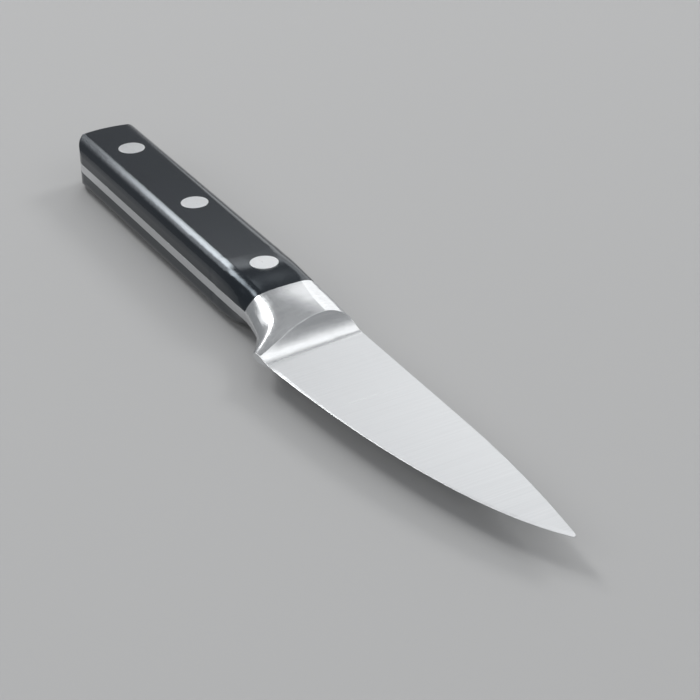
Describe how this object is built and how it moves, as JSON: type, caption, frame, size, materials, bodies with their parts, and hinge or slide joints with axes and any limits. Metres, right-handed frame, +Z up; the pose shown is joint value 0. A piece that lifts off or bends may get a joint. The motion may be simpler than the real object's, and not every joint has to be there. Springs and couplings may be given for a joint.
{
  "type": "paring knife",
  "caption": "Small forged kitchen knife with a pointed blade, a full bolster that drops to the heel, and flat black scales riveted to a full tang.",
  "frame": {"origin": "on the table, under the middle of the knife's outline as it lies on its left side", "axes": "+X from the butt of the handle to the tip of the blade, +Y from the cutting edge to the spine, +Z up from the table through the thickness of the knife"},
  "size_m": [0.2014, 0.023, 0.0128],
  "materials": {
    "blade_steel": "ground across the blade with fine lines, satin on the bolster",
    "scale_plastic": "fine matt black moulded plastic with a soft sheen on its ridges",
    "rivet_steel": "flat heads with fine lines"
  },
  "bodies": {
    "root": {"blade": "blade_steel", "right_scale": "scale_plastic", "left_scale": "scale_plastic", "rear_rivet_pin": "rivet_steel", "rear_rivet_sleeve": "rivet_steel", "middle_rivet_pin": "rivet_steel", "middle_rivet_sleeve": "rivet_steel", "front_rivet_pin": "rivet_steel", "front_rivet_sleeve": "rivet_steel"}
  },
  "joints": []
}
